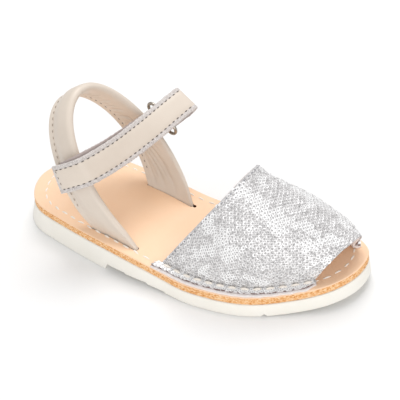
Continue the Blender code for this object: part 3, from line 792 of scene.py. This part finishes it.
def vamp_row(place, flange_share):
    """Outer face of the vamp across the foot, from edge to edge."""
    lateral_along, medial_along, forward, height = smooth_row(VAMP_SECTIONS, place)
    bends = side_lines(FOOTBED_INSET + FLANGE_MARGIN + FLANGE_WIDTH)
    rims = side_lines(FOOTBED_INSET + FLANGE_MARGIN)
    feet = []
    edges = []
    flange_share *= 1 - TOE_TAPER * soft_step(1 - (1 - place) / TOE_TAPER_OVER)
    for bend, rim, share in zip(bends, rims, (lateral_along, medial_along)):
        foot = Vector((*sampled(share * SOLE_LENGTH, bend[:, 0], bend), 0.0))
        foot.z = footbed_top(foot.x) + FLANGE_GAP + VAMP_WALL
        edge = Vector((*sampled(share * SOLE_LENGTH, bend[:, 0], rim), foot.z))
        feet.append(foot)
        edges.append(foot.lerp(edge, flange_share))
    arch = []
    for step in range(ARCH_COLUMNS + 1):
        angle = pi * step / ARCH_COLUMNS
        crown = sin(angle) ** VAMP_FULLNESS
        point = feet[0].lerp(feet[1], (1 - cos(angle)) / 2)
        point.x += forward * SOLE_LENGTH * crown
        point.z += height * INSTEP_HEIGHT * crown
        arch.append(point)
    shares = [step / FLANGE_COLUMNS for step in range(FLANGE_COLUMNS)]
    lateral = [edges[0].lerp(feet[0], share) for share in shares]
    medial = [edges[1].lerp(feet[1], share) for share in reversed(shares)]
    tab = TAB_REACH * soft_step(1 - place / TAB_OVER)
    for side, reach in ((lateral, tab), (medial[::-1], 0.0)):
        for point, share in zip(side, shares):
            point.x -= reach * sin(pi / 2 * (1 - share))
            point.z -= PUCKER * (1 - share) * cos(pi * point.x / SEAM_PITCH) ** 2
    return lateral + arch + medial


# Cloth backing: close silver-grey knit behind the sequins, a little darker than they are
knit = patterned("grey_knit_backing", ("TexVoronoi", {"Scale": 1 / 0.0006}), ("#B2B0B0", "#DAD8D8"),
                 {"Roughness": 0.8, "Sheen Weight": 0.2, "Sheen Roughness": 0.5}, (0.5, 0.0003))

# Bound edge: silver tape round the cloth's rim, mottled with dark mauve as painted shade of the gap between
# cloth and lining
binding_painted_shade = blank("silver_binding_painted_shade")
# Painted shade: this noise sets where the rim turns dark mauve
thread = node(binding_painted_shade, "TexNoise", {"Scale": 1 / 0.0016, "Detail": 2.0}, {"Vector": "Object"})
tones = node(binding_painted_shade, "ValToRGB", {}, {"Fac": thread})
set_stops(tones, ((0.44, "#7C625F"), (0.54, "#DCD8D8")))
node(binding_painted_shade, "Principled BSDF", {"Roughness": 0.75}, {"Base Color": tones})

# Lining: brushed cotton in a mauve grey, soft and matt, its cut edge showing below the flange
lining_cloth = patterned("mauve_cotton_lining", ("TexNoise", {"Scale": 1 / 0.0007, "Detail": 4.0}),
                         ("#E3D8D5", "#F6F0ED"),
                         {"Roughness": 0.9, "Sheen Weight": 0.3, "Sheen Roughness": 0.5}, (0.5, 0.0003))

places = np.linspace(1, 0, VAMP_ROWS + 1)
cloth_rows = [vamp_row(share, CLOTH_FLANGE_SHARE) for share in places]
for row_number, row in enumerate(cloth_rows):
    for column, point in enumerate(row):
        rise = CLOTH_WAVE * noise.noise(point / WAVE_LENGTH)
        row[column] = point + Vector((0, 0, rise * sin(pi * column / (len(row) - 1))))
cloth = add_piece(skin(cloth_rows, wrapped=False), "vamp_cloth", [knit, binding_painted_shade], sharp=70.0)
wall = cloth.modifiers.new("cloth", "SOLIDIFY")
wall.thickness = CLOTH_THICKNESS
wall.offset = -1
wall.material_offset_rim = 1
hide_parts("vamp")

mesh = skin([vamp_row(share, 1.0) for share in places], wrapped=False)
mesh.normal_update()
for vertex in mesh.verts:
    vertex.co -= vertex.normal * (CLOTH_THICKNESS + LINING_CLEARANCE)
lining = add_piece(mesh, "vamp_lining", [lining_cloth], sharp=70.0)
wall = lining.modifiers.new("lining", "SOLIDIFY")
wall.thickness = LINING_THICKNESS
wall.offset = -1

# Sequins: flat stamped discs of metallised film with a hole in the middle, sewn to the cloth in
# rows along the shoe. They lie at slightly different angles; some are painted near white as painted
# reflections of the lights, and a ring of painted shade darkens each hole.
SEQUIN_RADIUS = 0.00094
SEQUIN_HOLE = 0.00030
SEQUIN_PITCH = 0.00180
SEQUIN_ROW = 0.00158
SEQUIN_CUP = 0.00012
SEQUIN_STAND = 0.00016
SEQUIN_SIDES = 10
HOLE_SHADE_RADIUS = 0.00050
SEQUIN_TILT = 3.5
FLAT_SEQUIN_TILT = 2.0
PATCH_EDGE = 0.006
FLANGE_LINES = (1.1, 3.2, 5.4, 6.5, 7.6)
WALL_COLUMN = 7
# Patches where the sequins lie flatter and are painted near white, a painted reflection. Columns: place
# from the instep (0) to the toe (1) and arch from the outer (0) to the inner side (1), then the reach both
# ways
FLAT_PAINTED_GLINT_PATCHES = (
    (0.07, 0.385, 0.06, 0.030), (0.20, 0.400, 0.10, 0.035), (0.33, 0.385, 0.08, 0.040),
    (0.46, 0.385, 0.10, 0.040), (0.61, 0.400, 0.09, 0.032), (0.72, 0.400, 0.07, 0.030),
    (0.80, 0.320, 0.07, 0.040), (0.88, 0.420, 0.05, 0.030), (0.95, 0.250, 0.05, 0.035),
    (0.57, 0.335, 0.05, 0.025), (0.02, 0.240, 0.04, 0.018), (0.10, 0.200, 0.07, 0.030),
    (0.24, 0.190, 0.08, 0.036), (0.37, 0.160, 0.08, 0.038), (0.22, 0.130, 0.07, 0.028),
    (0.17, 0.085, 0.04, 0.020), (0.27, 0.035, 0.04, 0.022), (0.46, 0.055, 0.06, 0.030),
    (0.60, 0.060, 0.04, 0.016), (0.67, 0.040, 0.05, 0.018), (0.30, 0.700, 0.12, 0.060),
    (0.62, 0.780, 0.14, 0.050), (0.85, 0.640, 0.07, 0.050), (0.12, 0.880, 0.08, 0.040),
    (0.50, 0.800, 0.70, 0.180),
)


def repeated(template, frames, name):
    """One mesh with a copy of a bmesh at each frame: its centre and three axes."""
    points = np.array([vertex.co for vertex in template.verts])
    template.verts.index_update()
    faces = np.array([[vertex.index for vertex in face.verts] for face in template.faces])
    template.free()
    frames = np.array(frames)
    spots = frames[:, :1] + np.einsum("pk,nkd->npd", points, frames[:, 1:])
    numbers = faces[None] + np.arange(len(frames))[:, None, None] * len(points)
    data = bpy.data.meshes.new(name)
    data.from_pydata(spots.reshape(-1, 3).tolist(), [], numbers.reshape(-1, faces.shape[1]).tolist())
    return data


def lengths_along(points):
    """Distance along a line of points from its first one to each."""
    return np.concatenate([[0], np.cumsum(np.linalg.norm(np.diff(points, axis=0), axis=1))])


def sequin_frames(draw):
    """Frames of all sequins, with each one's painted highlight and the painted shade of its dot."""
    grid = np.array(cloth_rows)
    count = grid.shape[1]
    across = np.array([lengths_along(row) for row in grid])
    across -= across[:, count // 2:count // 2 + 1]
    normals = np.cross(np.gradient(grid, axis=1), np.gradient(grid, axis=0))
    normals /= np.linalg.norm(normals, axis=2)[:, :, None]
    field = np.concatenate([grid, normals], axis=2)
    most = int(across.max() / SEQUIN_ROW) + 1
    lines = [[(row, np.interp(target, across[row], np.arange(count))) for row in range(len(grid))
              if across[row, WALL_COLUMN] < target < across[row, -1 - WALL_COLUMN]]
             for target in SEQUIN_ROW * np.arange(-most, most + 1)]
    for column in FLANGE_LINES:
        lines += [[(row, place) for row in range(len(grid))] for place in (column, count - 1 - column)]
    frames = []
    painted_glints = []
    painted_hole_shades = []
    for number, cells in enumerate(lines):
        if len(cells) < 2:
            continue
        table = []
        for row, column in cells:
            low = min(int(column), count - 2)
            blend = column - low
            table.append((*(field[row, low] * (1 - blend) + field[row, low + 1] * blend), row, column))
        table = np.array(table)
        points = table[:, :3]
        lengths = lengths_along(points)
        start = SEQUIN_RADIUS + (number % 2) * SEQUIN_PITCH / 2
        for distance in np.arange(start, lengths[-1] - 0.6 * SEQUIN_RADIUS, SEQUIN_PITCH):
            distance += draw.uniform(-0.08, 0.08) * SEQUIN_PITCH
            spot, facing, (row, column) = np.split(sampled(distance, lengths, table), (3, 6))
            facing = Vector(facing).normalized()
            ahead = (sampled(distance + SEQUIN_PITCH, lengths, points)
                     - sampled(distance - SEQUIN_PITCH, lengths, points))
            place = 1 - row / (len(grid) - 1)
            arch = (column - FLANGE_COLUMNS) / ARCH_COLUMNS
            # How far a sequin lies in a patch of painted highlight
            flat = max(exp(-((place - p) / along) ** 2 - ((arch - a) / wide) ** 2)
                       for p, a, along, wide in FLAT_PAINTED_GLINT_PATCHES)
            flat += 0.5 * noise.noise(Vector(spot) / PATCH_EDGE)
            on_flange = not 0 < arch < 1
            flat_and_painted_bright = on_flange or flat + draw.uniform(-0.2, 0.2) > 0.35
            tilt = FLAT_SEQUIN_TILT if flat_and_painted_bright else SEQUIN_TILT
            along = Vector(ahead).normalized()
            side = facing.cross(along).normalized()
            lean = Matrix.Rotation(radians(draw.gauss(0, tilt)), 3, along)
            lean = lean @ Matrix.Rotation(radians(draw.gauss(2, tilt)), 3, side)
            facing = lean @ facing
            along = (along - facing * along.dot(facing)).normalized()
            centre = Vector(spot) + facing * SEQUIN_STAND
            frames.append((centre, along, facing.cross(along), facing))
            # Painted highlight of the disc, and painted shade of the ring round its hole
            painted_glints.append(draw.uniform(0.88, 1.0) if flat_and_painted_bright else draw.triangular(0.40, 0.82, 0.6))
            painted_hole_shades.append(0.8 if on_flange else 0.4 * soft_step((arch - 0.5) / 0.2))
    return frames, painted_glints, painted_hole_shades


# Metallised film: silver discs with a sharp gloss, whose colour carries painted highlights, near white on
# some, and painted shade round their holes
sequin_film_painted_light = blank("silver_sequin_film_painted_light")
painted_glint = node(sequin_film_painted_light, "Attribute", {"attribute_name": "painted_glint"})
foil = node(sequin_film_painted_light, "TexNoise", {"Scale": 1 / 0.0006, "Detail": 2.0}, {"Vector": "Object"})
painted_flicker = node(sequin_film_painted_light, "Math", {"operation": "MULTIPLY_ADD", 1: 1.4}, {0: foil, 2: painted_glint.outputs["Fac"]})
level = node(sequin_film_painted_light, "Math", {"operation": "SUBTRACT", 1: 0.7}, {0: painted_flicker})
tones = node(sequin_film_painted_light, "ValToRGB", {}, {"Fac": level})
set_stops(tones, ((0.0, "#38383E"), (0.20, "#ABA9A9"), (0.60, "#E4E2E2"), (0.85, "#FAF9F9"),
                  (1.0, "#FFFFFF")))
node(sequin_film_painted_light, "Principled BSDF", {"Metallic": 0.35, "Roughness": 0.42}, {"Base Color": tones})

disc = bmesh.new()
bmesh.ops.create_circle(disc, segments=SEQUIN_SIDES, radius=SEQUIN_RADIUS)
rim = disc.edges[:]
for before, radius in ((SEQUIN_RADIUS, HOLE_SHADE_RADIUS), (HOLE_SHADE_RADIUS, SEQUIN_HOLE)):
    made = bmesh.ops.extrude_edge_only(disc, edges=rim)["geom"]
    rim = [part for part in made if isinstance(part, bmesh.types.BMEdge)]
    inner = [part for part in made if isinstance(part, bmesh.types.BMVert)]
    bmesh.ops.scale(disc, vec=(radius / before, radius / before, 1), verts=inner)
    bmesh.ops.translate(disc, vec=(0, 0, -SEQUIN_CUP / 2), verts=inner)
# Outside the ring of painted shade a disc takes its painted highlight, inside it the painted hole shade
painted_glint_verts = [vertex.co.xy.length > (HOLE_SHADE_RADIUS + SEQUIN_HOLE) / 2 for vertex in disc.verts]
bmesh.ops.recalc_face_normals(disc, faces=disc.faces)
frames, painted_glints, painted_hole_shades = sequin_frames(random.Random(5))
data = repeated(disc, frames, "sequins")
layer = data.attributes.new("painted_glint", "FLOAT", "POINT")
layer.data.foreach_set("value", np.where(painted_glint_verts, np.array(painted_glints)[:, None], np.array(painted_hole_shades)[:, None]).ravel())
sequins = add_piece(data, "vamp_sequins", [sequin_film_painted_light])

# Stitches: waxed white cotton along the footbed's edge, through the vamp's flange where it lies
# on it, and fine grey thread along both edges of the instep strap and the heel strap's flange
SEAM_INSET = 0.0042
SEAM_END_INSET = 0.0028
THREAD_RADIUS = 0.00046
FOOTBED_STITCH = 0.0042
FOOTBED_PITCH = 0.0056
FLANGE_STITCH = 0.0042
FLANGE_THREAD = 0.00060
TOE_GAP = (0.20, 0.30)
FINE_RADIUS = 0.00026
FINE_STITCH = 0.0017
FINE_PITCH = 0.0029
STRAP_END_INSET = 0.0042
PADDED_RADIUS = 0.00017
PADDED_STITCH = 0.0014
EDGE_STITCH = 0.0010
EDGE_PITCH = 0.0026
EDGE_INSET = 0.0010
FOOTBED_LIFT = 0.00005
FLANGE_LIFT = 0.0002
FLANGE_SHIFT = 0.0004
FLANGE_FIRST = 0.0025
FLANGE_STOP = 0.003
PADDED_INSET = 0.0006
PADDED_FROM = -0.88
PADDED_TO = 0.93
UP = Vector((0, 0, 1))


def walk(points, pitch, start=0.0):
    """Centres and directions along a line of points, one pitch apart."""
    lengths = lengths_along(points)
    for distance in np.arange(start, lengths[-1], pitch):
        spot, ahead, behind = [Vector(sampled(distance + part * pitch, lengths, points))
                               for part in (0, 0.25, -0.25)]
        yield spot, (ahead - behind).normalized()


def stitch_frame(spot, along, up, length, radius):
    """Frame of a stitch on a surface that faces up."""
    side = up.cross(along).normalized()
    up = along.cross(side).normalized()
    return spot, along * length / 2, side * radius, up * radius


def seam(row, pitch, start, length, radius):
    """Frames of a seam's stitches; row holds points, each with the way the surface faces."""
    frames = []
    for spot, along in walk([point for point, up in row], pitch, start):
        up = min(row, key=lambda item: (item[0] - spot).length_squared)[1]
        frames.append(stitch_frame(spot, along, up, length, radius))
    return frames


def stitches(frames, name, material):
    """All stitches of one seam as one mesh of rounded threads."""
    thread = bmesh.new()
    bmesh.ops.create_icosphere(thread, subdivisions=2, radius=1.0)
    for vertex in thread.verts:
        vertex.co.x *= 1.0 - 0.12 * (vertex.co.y ** 2 + vertex.co.z ** 2)
        flat = sqrt(max(1 - abs(vertex.co.x) ** 4, 0.0))
        vertex.co.z -= 0.5 * vertex.co.x ** 2
        vertex.co.y *= 0.55 + 0.45 * flat
    return add_piece(repeated(thread, frames, name), name, [material])


# Waxed cotton: round white thread, twisted, with a faint gloss from its wax
cotton = patterned("waxed_white_cotton", ("TexNoise", {"Scale": 1 / 0.0006, "Detail": 2.0}),
                   ("#EFE3D6", "#FDF8F0"), {"Roughness": 0.6}, (0.3, 0.0002))

# Spun polyester threads: grey, which reads as fine dark dashes on the leather, beige in its own
# tone, which only shows as a dent, and blue-black, which tacks the vamp's hem
grey_thread = blank("grey_polyester_thread")
beige_thread = blank("beige_polyester_thread")
dark_thread = blank("dark_polyester_thread")
node(grey_thread, "Principled BSDF", {"Base Color": "#5E564F", "Roughness": 0.6})
node(beige_thread, "Principled BSDF", {"Base Color": "#A39688", "Roughness": 0.6})
node(dark_thread, "Principled BSDF", {"Base Color": "#777A84", "Roughness": 0.5})

draw = random.Random(11)
seam_frames = []
flange_frames = []
vamp_start, vamp_end = [[share * SOLE_LENGTH for share in VAMP_SECTIONS[row][:2]] for row in (0, -1)]
squeeze = 1 - 2 * SEAM_END_INSET / SOLE_LENGTH
line = [(SOLE_LENGTH / 2 + (x - SOLE_LENGTH / 2) * squeeze, y) for x, y in outline(SEAM_INSET)]
for spot, along in walk([(x, y, footbed_top(x)) for x, y in line + line[:1]], FOOTBED_PITCH):
    side = 1 if spot.y > 0 else 0
    at_toe = -TOE_GAP[0] * BALL_WIDTH <= spot.y <= TOE_GAP[1] * BALL_WIDTH
    if at_toe or not vamp_start[side] - 0.001 < spot.x < vamp_end[side] + 0.001:
        turn = Matrix.Rotation(radians(draw.gauss(-5, 5)), 3, "Z")
        length = FOOTBED_STITCH * draw.uniform(0.85, 1.1)
        seam_frames.append(stitch_frame(spot + UP * FOOTBED_LIFT, turn @ along, UP, length, THREAD_RADIUS))
for side, line in enumerate(side_lines(SEAM_INSET)):
    inside = [(x, y, footbed_top(x) + FLANGE_GAP + VAMP_WALL) for x, y in line
              if vamp_start[side] <= x <= vamp_end[side] - FLANGE_STOP * side]
    for spot, along in walk(inside, SEAM_PITCH, FLANGE_FIRST):
        turn = Matrix.Rotation(radians(draw.gauss(0, 4)), 3, "Z")
        spot += UP * FLANGE_LIFT + along.cross(UP) * FLANGE_SHIFT * (1 - 2 * side)
        flange_frames.append(stitch_frame(spot, turn @ along, UP, FLANGE_STITCH, FLANGE_THREAD))
stitches(seam_frames, "footbed_stitches", cotton)
flange_seam = stitches(flange_frames, "vamp_flange_stitches", cotton)

half_line = STRAP_WIDTH / 2 - STRAP_SEAM_INSET
depth = (STRAP_LEATHER - SEAM_GROOVE) / 2
start = STRAP_END_INSET / lengths_along([band_frame(share)[0] for share in np.linspace(0, 1, 160)])[-1]
rows = [[(top_point(share, level, depth), band_frame(share)[2]) for share in np.linspace(start, 1, 160)]
        for level in (-half_line, half_line)]
fine_frames = []
for row in rows:
    fine_frames += seam(row, FINE_PITCH, FINE_STITCH / 2, FINE_STITCH, FINE_RADIUS)
fine_frames += seam([row[0] for row in rows], FINE_PITCH, FINE_PITCH, FINE_STITCH, FINE_RADIUS)
stitches(fine_frames, "instep_strap_stitches", grey_thread)

for face, name, thread in ((1, "outer", beige_thread), (-1, "inner", grey_thread)):
    row = []
    for place in np.linspace(PADDED_FROM, PADDED_TO, 160):
        centre, width_way, outward, width = strap_frame(place)
        beside = width_way * (STRAP_SEAM - PADDED_INSET - width / 2)
        row.append((centre + beside + outward * face * STRAP_EDGE / 2, outward * face))
    stitches(seam(row, FINE_PITCH, 0.0, PADDED_STITCH, PADDED_RADIUS),
             "heel_strap_stitches_" + name, thread)

edge_frames = []
hem, ahead = [cloth_rows[row][FLANGE_COLUMNS:-FLANGE_COLUMNS] for row in (-1, -4)]
hem = [near + (far - near).normalized() * EDGE_INSET for near, far in zip(hem, ahead)]
for spot, along in walk(hem, EDGE_PITCH, EDGE_PITCH):
    number = min(range(len(hem)), key=lambda index: (hem[index] - spot).length_squared)
    up = (ahead[number] - hem[number]).cross(along).normalized()
    edge_frames.append(stitch_frame(spot + up * 2 * SEQUIN_STAND, along, up, EDGE_STITCH, PADDED_RADIUS))
hem_tacks = stitches(edge_frames, "vamp_edge_stitches", dark_thread)

# Floor and light: a white sweep under large soft lights, which leave only a thin soft shadow
paper = blank("white_paper_sweep")
node(paper, "Principled BSDF", {"Base Color": "#F2F2F2", "Roughness": 0.9})
mesh = bmesh.new()
bmesh.ops.create_grid(mesh, x_segments=1, y_segments=1, size=2.0)
floor = put("floor", mesh)
floor.data.materials.append(paper)

world = bpy.data.worlds.new("studio")
world.use_nodes = True
node(world, "Background", {"Color": "#FFFFFF", "Strength": 0.66})
bpy.context.scene.world = world
# Soft boxes. Columns: name, place in metres, width in metres and power in watts
SOFT_BOXES = (
    ("top_box", (-0.10, 0.38, 0.88), 0.6, 5.0),
    ("front_box", (0.60, -0.76, 0.40), 0.6, 3.4),
)
for name, place, width, power in SOFT_BOXES:
    data = bpy.data.lights.new(name, "AREA")
    data.size = width
    data.energy = power
    lamp = put(name, data)
    lamp.location = place
    lamp.rotation_euler = (-Vector(place)).to_track_quat("-Z", "Y").to_euler()

# Camera: the photograph's angle, from the outer side and above, rolled a little to the left
AIM = Vector((0.00241, 0.00524, 0.02078))
DISTANCE = 0.6003
AZIMUTH = radians(35.62)
ELEVATION = radians(35.71)
ROLL = radians(-5.17)
LENS = 121.33
turned = Matrix.Rotation(AZIMUTH, 3, "Z") @ Matrix.Rotation(pi / 2 - ELEVATION, 3, "X")
turned = turned @ Matrix.Rotation(ROLL, 3, "Z")
lens = bpy.data.cameras.new("camera")
lens.lens = LENS
lens.sensor_width = 36.0
lens.clip_start = 0.01
camera = put("camera", lens)
camera.matrix_world = turned.to_4x4()
camera.location = AIM + turned.col[2] * DISTANCE
bpy.context.scene.camera = camera
bpy.context.scene.view_settings.view_transform = "Standard"
